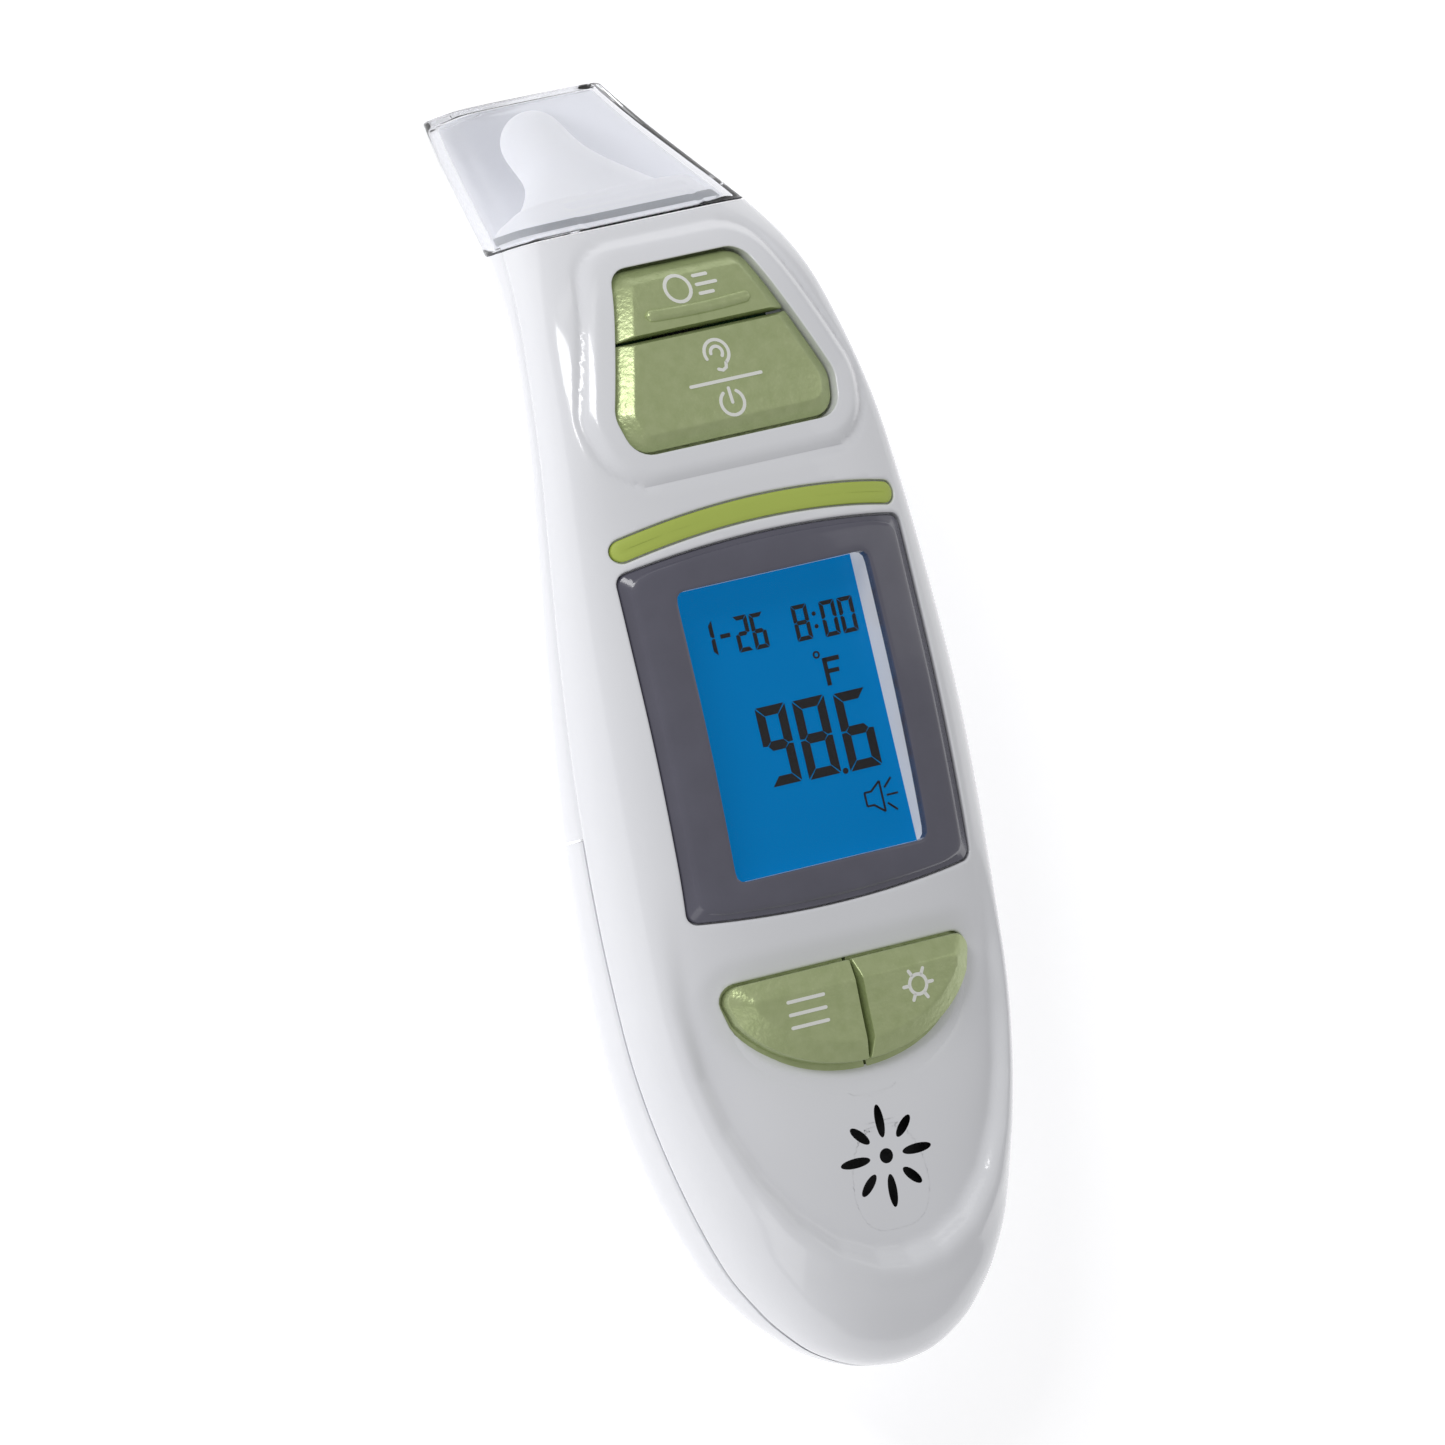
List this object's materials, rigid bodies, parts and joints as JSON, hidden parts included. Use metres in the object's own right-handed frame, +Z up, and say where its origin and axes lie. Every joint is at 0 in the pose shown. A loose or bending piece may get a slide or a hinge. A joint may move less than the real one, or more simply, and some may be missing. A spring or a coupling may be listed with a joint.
{
  "type": "digital ear thermometer",
  "caption": "Handheld infrared ear and forehead thermometer: bent-back head with a clear pull-off probe hood, press keys, backlit display, speaker slots and a sliding battery door.",
  "frame": {"origin": "on the surface the thermometer rests on, under the middle of its length and width", "axes": "+Y along the body towards the probe end, +X across the body, +Z up, out of the display side as it lies on its back"},
  "size_m": [0.0488, 0.1556, 0.0435],
  "materials": {
    "shell": "gloss white ABS",
    "hood": "clear polished polystyrene",
    "probe": "satin white ABS",
    "rubber": "matt silicone",
    "window": "polished infrared window",
    "gold": "gold-plated bore",
    "steel": "plated",
    "black_plastic": "moulded",
    "red_wire": "PVC insulation",
    "black_wire": "PVC insulation",
    "key": "pearl green satin paint",
    "lens": "dark printed lens with a clear window",
    "strip": "green painted strip",
    "lcd": "blue-lit liquid crystal panel",
    "holder": "light grey frame",
    "light_guide": "clear light guide",
    "board": "solder mask",
    "chip": "epoxy package",
    "ceramic": "ceramic",
    "speaker": "black metal and film",
    "foam": "closed-cell foam",
    "cell": "printed sleeve over steel"
  },
  "bodies": {
    "body": {"front_cover": "shell", "rear_cover": "shell", "probe_collar": "probe", "probe_seal": "rubber", "ear_probe": "probe", "probe_window": "window", "wave_guide": "gold", "ir_sensor": "steel", "sensor_holder": "black_plastic", "sensor_leads": "red_wire", "head_switch": "black_plastic", "ear_power_switch": "black_plastic", "mem_switch": "black_plastic", "set_switch": "black_plastic", "display_lens": "lens", "accent_strip": "strip", "lcd_panel": "lcd", "lcd_holder": "holder", "lcd_backlight": "light_guide", "backlight_leds": "light_guide", "zebra_strips": "rubber", "main_pcb": "board", "controller_chip": "chip", "memory_chip": "chip", "crystal": "steel", "capacitors": "ceramic", "speaker": "speaker", "speaker_gasket": "foam", "speaker_leads": "black_wire", "battery_left": "cell", "battery_right": "cell", "battery_springs": "steel", "battery_contacts": "steel", "battery_leads": "red_wire", "housing_screws": "steel"},
    "hood": {"probe_cap": "hood"},
    "door": {"battery_door": "shell"},
    "head_key": {"head_button": "key", "head_plunger": "black_plastic"},
    "ear_power_key": {"ear_power_button": "key", "ear_power_plunger": "black_plastic"},
    "mem_key": {"mem_button": "key", "mem_plunger": "black_plastic"},
    "set_key": {"set_button": "key", "set_plunger": "black_plastic"}
  },
  "joints": [
    {"name": "hood_pull", "type": "slide", "parent": "body", "child": "hood", "axis": [0, 0.7279, -0.6856], "range_m": [0, 0.04]},
    {"name": "door_slide", "type": "slide", "parent": "body", "child": "door", "axis": [0, -0.9826, -0.1859], "range_m": [0, 0.08]},
    {"name": "head_key_press", "type": "slide", "parent": "body", "child": "head_key", "axis": [0, 0.0822, -0.9966], "range_m": [0, 0.0005], "stiffness_N_per_m": 1500, "springref_m": -0.0002},
    {"name": "ear_power_key_press", "type": "slide", "parent": "body", "child": "ear_power_key", "axis": [0, 0.0822, -0.9966], "range_m": [0, 0.0005], "stiffness_N_per_m": 1500, "springref_m": -0.0002},
    {"name": "mem_key_press", "type": "slide", "parent": "body", "child": "mem_key", "axis": [0, 0.0822, -0.9966], "range_m": [0, 0.0005], "stiffness_N_per_m": 1500, "springref_m": -0.0002},
    {"name": "set_key_press", "type": "slide", "parent": "body", "child": "set_key", "axis": [0, 0.0822, -0.9966], "range_m": [0, 0.0005], "stiffness_N_per_m": 1500, "springref_m": -0.0002}
  ]
}
